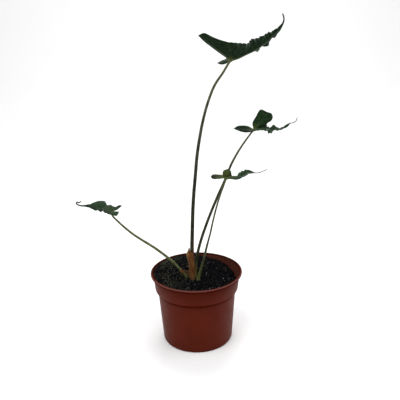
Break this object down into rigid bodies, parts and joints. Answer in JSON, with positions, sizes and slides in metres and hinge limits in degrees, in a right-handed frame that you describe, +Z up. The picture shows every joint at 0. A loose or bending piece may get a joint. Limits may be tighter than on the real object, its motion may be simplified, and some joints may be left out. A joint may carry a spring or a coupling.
{
  "type": "potted alocasia",
  "caption": "Small aroid house plant: arrow-shaped, frilled, long-tailed leaves on tall slender stems, in soil in a round plastic nursery pot.",
  "frame": {"origin": "centre of the pot's underside, on the surface it stands on", "axes": "+Z up along the pot's axis; the viewer of the picture looks along +Y, with +X to the right"},
  "size_m": [0.2434, 0.105, 0.3591],
  "materials": {
    "pot_plastic": "satin",
    "soil": "matte",
    "stem": "satin",
    "leaf": "satin",
    "sheath": "matte"
  },
  "bodies": {
    "root": {"pot": "pot_plastic", "soil": "soil", "stem_top": "stem", "leaf_top": "leaf", "stem_right": "stem", "leaf_right": "leaf", "stem_middle": "stem", "leaf_middle": "leaf", "stem_left": "stem", "leaf_left": "leaf", "sheath": "sheath"}
  },
  "joints": []
}
